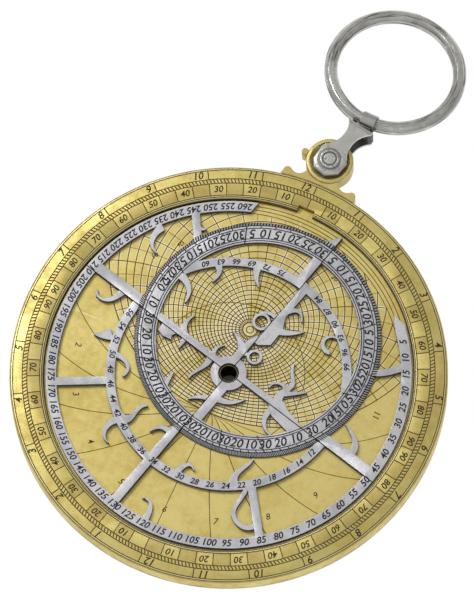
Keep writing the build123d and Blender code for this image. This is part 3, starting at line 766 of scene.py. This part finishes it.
@dataclass
class Rete:
    """The pierced rete."""

    worn_edge: float = 0.09
    band_line: float = 0.24

    def engrave(self, kit: Shader) -> Engraving:
        """The lines of the meridian, the equinoctial and the ecliptic's scale, and the side walls painted
        near black as painted shade.
        """
        x, y, z = kit.split(kit.turned(RETE_TURN))
        radius = (x * x + y * y).root()
        meridian = abs(x).line(self.band_line)
        equinoctial = abs(y).line(self.band_line)
        lines = meridian.most(equinoctial)
        lift = y - ECLIPTIC_OFFSET
        around = (x * x + lift * lift).root()
        ascension = x.arctan2(y)
        longitude = ascension.sin() * cos(radians(OBLIQUITY))
        longitude = longitude.arctan2(ascension.cos()) * (180 / pi) + 360.0
        inner = ECLIPTIC_RADIUS - ECLIPTIC_WIDTH
        for circle in (inner + 0.42, inner + 0.95, ECLIPTIC_RADIUS - 0.92, ECLIPTIC_RADIUS - 1.55):
            lines = lines.most(abs(around - circle).line(self.band_line))
        lines = lines.most(abs(around - ECLIPTIC_RADIUS + 0.9).line(0.24))
        signs = abs((longitude / 30.0 + 0.5).fract() - 0.5) * 30.0 * radius * (pi / 180)
        lines = lines.most(signs.line(self.band_line * 1.2) * around.between(inner, ECLIPTIC_RADIUS - 0.9))
        ticks = abs(longitude.fract() - 0.5).ramp(0.14, 0.36, 1.0, 0.0)
        lines = lines.most(ticks * around.between(ECLIPTIC_RADIUS - 0.9, ECLIPTIC_RADIUS + 0.2))
        tens = abs((longitude / 5.0 + 0.5).fract() - 0.5) * 5.0 * radius * (pi / 180)
        scale = around.between(ECLIPTIC_RADIUS - 1.55, ECLIPTIC_RADIUS - 0.9)
        lines = lines.most(tens.line(self.band_line) * scale)
        face = z > RETE_TOP - 0.52
        bevel = around.between(ECLIPTIC_RADIUS - 1.0, ECLIPTIC_RADIUS - 0.02) * face
        # Painted shade: the side walls below the top face go near black, except on the ecliptic's bevel.
        painted_wall_shade = z.ramp(RETE_TOP - 0.12, RETE_TOP - 0.04, 0.9, 0.0) * (1.0 - bevel)
        return Engraving((lines * face).most(painted_wall_shade))

    def numerals(self) -> list[Numeral]:
        """Degrees on the ecliptic and the numbers of the stars on the bands."""
        items = []
        middle = ECLIPTIC_RADIUS - ECLIPTIC_WIDTH / 2 - 0.25
        for five in range(72):
            longitude = radians(five * 5 + 2.6)
            if five % 2 == 0 and cos(longitude) < 0.25:
                continue
            ascension = atan2(sin(longitude) / cos(radians(OBLIQUITY)), cos(longitude))
            away = ECLIPTIC_OFFSET * cos(ascension)
            reach = away + sqrt(away ** 2 - ECLIPTIC_OFFSET ** 2 + middle ** 2)
            px, py = reach * sin(ascension), reach * cos(ascension)
            bearing = degrees(atan2(px, py - ECLIPTIC_OFFSET))
            words = str(five % 6 * 5 + 5)
            items.append(Numeral(words, middle, bearing, 2.1, True, (0.0, ECLIPTIC_OFFSET)))
        for index in range(52):
            bearing = 41.0 + index * 5.6
            items.append(Numeral(str(index * 5 + 5), RETE_RIM_MIDDLE, bearing, 1.6, True))
        for index in range(23):
            bearing = 97.0 + index * 7.6
            items.append(Numeral(str(index * 2 + 12), EQUATOR_RADIUS, bearing, 1.35, True))
        for index in range(14):
            bearing = -50.0 + index * 7.6
            if abs(bearing) > 5.0:
                items.append(Numeral(str(index * 3 + 60), EQUATOR_RADIUS, bearing, 1.3, True))
        return items

    def build(self) -> None:
        """Makes the rete."""
        mesh = Maker.softened("rete", self.worn_edge, 2, 25.0)
        material = RETE_SILVER.make(self.engrave, RETE_TURN)
        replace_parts(Maker.piece("rete_worn", mesh, "rete", "silvered", material), "rete")
        mesh = Maker.numerals("rete_numerals", self.numerals(), RETE_TOP, RETE_TURN, 0.05)
        Maker.piece("rete_numerals", mesh, "rete", "silvered", BLACK_INK.make())


@dataclass
class Alidade:
    """The rule on the back with its folding vanes."""

    worn_edge: float = 0.08
    nodes: tuple[str, ...] = ("alidade", "hinge_block_a", "hinge_block_b", "hinge_pin_a", "hinge_pin_b",
                              "block_rivet_a1", "block_rivet_a2", "block_rivet_b1", "block_rivet_b2",
                              "sight_vane_a", "sight_vane_b")

    def build(self) -> None:
        """Gives each node its material."""
        material = BACK_BRASS.make()
        for node in self.nodes:
            Mater.dress(node, material)


@dataclass
class Suspension:
    """The shackle, its rivet and the ring."""

    middle: float = 2.5
    inner_half: float = 2.55

    def strap_wear_and_shade(self, kit: Shader) -> Engraving:
        """Painted shade inside the fold of the strap and towards the ring, a dark ring round the rivet, and
        dark worn specks round it.
        """
        x, y, z = kit.split(kit.turned(0.0))
        # Painted shade inside the fold, between the legs of the strap.
        inside = abs(z - self.middle).ramp(self.inner_half, self.inner_half + 0.25, 0.9, 0.0)
        lift = y - DRUM_HEIGHT
        radius = (x * x + lift * lift).root()
        # Painted shadow, darker towards the ring.
        near_ring = (y - 66.4).ramp(0.0, 1.2, 0.0, 0.35)
        round_rivet = abs(radius - 2.5).line(0.7) * 0.75
        worn = kit.noise(kit.turned(0.0), 0.9, 3.0).ramp(0.5, 0.66) * radius.ramp(2.3, 2.6) * 0.35
        collar = (y - 67.6) > 0.0
        return Engraving((inside * (1.0 - collar)).most(round_rivet * 0.8).most(worn * (radius < 3.9)),
                         near_ring)

    def rivet_dirt(self, kit: Shader) -> Engraving:
        """The dirt in the ring mark of the rivet."""
        x, y, _ = kit.split(kit.turned(0.0))
        lift = y - DRUM_HEIGHT
        radius = (x * x + lift * lift).root()
        mark = abs(radius - 1.56).line(0.5) * 0.7
        speck = kit.noise(kit.turned(0.0), 1.8, 3.0).ramp(0.52, 0.64) * 0.5
        return Engraving(mark.most(speck), 0.0)

    @staticmethod
    def ring_painted_reflections(kit: Shader) -> Engraving:
        """Long dark streaks on the facets of the ring, painted to stand in for dark reflections."""
        x, y, z = kit.split(kit.turned(0.0))
        across = x - RING_CENTRE[0]
        along = y - RING_CENTRE[1]
        radius = (across * across + along * along).root()
        angle = across.arctan2(along)
        level = z + along * 0.18
        track = kit.join(radius * 1.5, level * 1.5, angle * 1.6)
        # Finer dark streaks, also painted reflections.
        streak = kit.noise(track, 1.0, 4.0, 0.6).ramp(0.50, 0.62)
        track = kit.join(radius * 4.0, level * 4.0, angle * 5.0)
        fine_painted_reflection = kit.noise(track, 1.0, 3.0, 0.6).ramp(0.58, 0.68)
        return Engraving(streak * 0.72, fine_painted_reflection * 0.6)

    def build(self) -> None:
        """Makes the worn copies."""
        silver = RING_SILVER.make(self.strap_wear_and_shade)
        mesh = Maker.softened("shackle", 0.1)
        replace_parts(Maker.piece("shackle_worn", mesh, "shackle", "silvered", silver), "shackle")
        mesh = Maker.softened("shackle_rivet", 0.06)
        rivet = Maker.piece("shackle_rivet_worn", mesh, "shackle", "silvered",
                            RING_SILVER.make(self.rivet_dirt))
        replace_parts(rivet, "shackle_rivet")
        for node in ("shackle_washer_front", "shackle_washer_back"):
            Mater.dress(node, silver)
        mesh = Maker.softened("suspension_ring", 0.18, 3, 20.0)
        ring = Maker.piece("ring_worn", mesh, "ring", "silvered", RING_SILVER.make(self.ring_painted_reflections), 9.0)
        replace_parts(ring, "suspension_ring")


@dataclass
class Studio:
    """The floor, the lamps and the camera."""

    eye: tuple[float, float, float] = (216.52, -394.82, 1345.41)
    right: tuple[float, float, float] = (0.9101556545, 0.4135896184, -0.0236709124)
    down: tuple[float, float, float] = (0.3836505061, -0.8630724135, -0.3285092057)
    ahead: tuple[float, float, float] = (-0.1562977085, 0.2899131536, -0.9442041038)
    focal_pixels: float = 6206.47
    frame_pixels: float = 475.0
    sensor: float = 36.0
    floor_height: float = -4.5
    # Radius in millimetres inside which the floor does not glow: painted shade under the object.
    dark_floor: float = 30.0
    wall_edge: float = 0.25
    ceiling_edge: float = 0.8
    wall_light: float = 0.4
    ceiling_light: float = 0.55

    def camera(self) -> None:
        """Sets the camera at the photograph's place."""
        data = bpy.data.cameras.new("camera")
        data.sensor_fit = "HORIZONTAL"
        data.sensor_width = self.sensor
        data.lens = self.focal_pixels * self.sensor / self.frame_pixels
        data.clip_start = 0.05
        data.clip_end = 20.0
        made = bpy.data.objects.new("camera", data)
        bpy.context.scene.collection.objects.link(made)
        axes = Matrix((Vector(self.right), -Vector(self.down), -Vector(self.ahead))).transposed()
        made.matrix_world = Matrix.Translation(Vector(self.eye) * MM) @ axes.to_4x4()
        bpy.context.scene.camera = made

    def floor(self) -> None:
        """Lays the pale floor; under the disc it does not glow, so it is painted darker there as shade."""
        bm = bmesh.new()
        bmesh.ops.create_grid(bm, x_segments=1, y_segments=1, size=1.5)
        bmesh.ops.translate(bm, verts=bm.verts, vec=(0, 0, self.floor_height * MM))
        mesh = bpy.data.meshes.new("floor")
        bm.to_mesh(mesh)
        bm.free()
        made = bpy.data.objects.new("floor", mesh)
        bpy.context.scene.collection.objects.link(made)
        kit = Shader("floor_white")
        surface = kit.node("ShaderNodeBsdfDiffuse", inputs={"Color": (0.9, 0.9, 0.9, 1)})
        glow = kit.node("ShaderNodeEmission", inputs={"Color": WHITE, "Strength": 1.0})
        x, y, _ = kit.split(kit.turned(0.0))
        # Painted shade: no glow inside 30 mm, fading in to full glow at 50.5 mm.
        open_floor = (x * x + y * y).root().ramp(self.dark_floor, DISC_RADIUS + 0.5)
        path = kit.node("ShaderNodeLightPath", output="Is Camera Ray")
        for ray in ("Is Glossy Ray", "Is Transmission Ray"):
            path = path.most(kit.node("ShaderNodeLightPath", output=ray))
        mixed = kit.node("ShaderNodeMixShader", inputs={0: path * open_floor, 1: surface, 2: glow})
        kit.node("ShaderNodeOutputMaterial", inputs={"Surface": mixed})
        mesh.materials.append(kit.material)

    def lamp(self, name: str, place: tuple[float, float, float], size: float, power: float,
             target: tuple[float, float, float] = (0.0, 0.02, 0.0)) -> None:
        """Hangs one square lamp that looks at the target.

        Args:
            name: The lamp's name.
            place: Where it hangs, in metres.
            size: Its side in metres.
            power: Its power in watts.
            target: The point that it looks at.
        """
        data = bpy.data.lights.new(name, "AREA")
        data.shape = "SQUARE"
        data.size = size
        data.energy = power
        made = bpy.data.objects.new(name, data)
        bpy.context.scene.collection.objects.link(made)
        turn = (Vector(place) - Vector(target)).to_track_quat("Z", "Y")
        made.matrix_world = Matrix.Translation(place) @ turn.to_matrix().to_4x4()

    def world(self) -> None:
        """Sets the room: a white ceiling and floor between darker walls."""
        world = bpy.data.worlds.new("studio")
        bpy.context.scene.world = world
        kit = Shader.of(world)
        direction = kit.node("ShaderNodeTexCoord", output="Generated")
        _, _, z = kit.split(direction)
        light = abs(z).ramp(self.wall_edge, self.ceiling_edge, self.wall_light, self.ceiling_light)
        room = kit.node("ShaderNodeBackground", inputs={"Color": WHITE, "Strength": light})
        kit.node("ShaderNodeOutputWorld", inputs={"Surface": room})

    def build(self) -> None:
        """Sets up the whole studio."""
        self.camera()
        self.floor()
        self.world()
        self.lamp("key_lamp", (-0.55, 0.25, 0.75), 0.3, 2.6)
        self.lamp("fill_lamp", (0.6, -0.5, 0.8), 0.8, 0.6)
        settings = bpy.context.scene.view_settings
        settings.view_transform = "Standard"


def main() -> None:
    """Dresses the astrolabe and sets the studio round it."""
    logging.basicConfig(level=logging.INFO)
    for part in (Mater(), Rete(), Alidade(), Suspension(), Studio()):
        part.build()
        log.info("built %s", type(part).__name__)


if __name__ == "__main__":
    main()
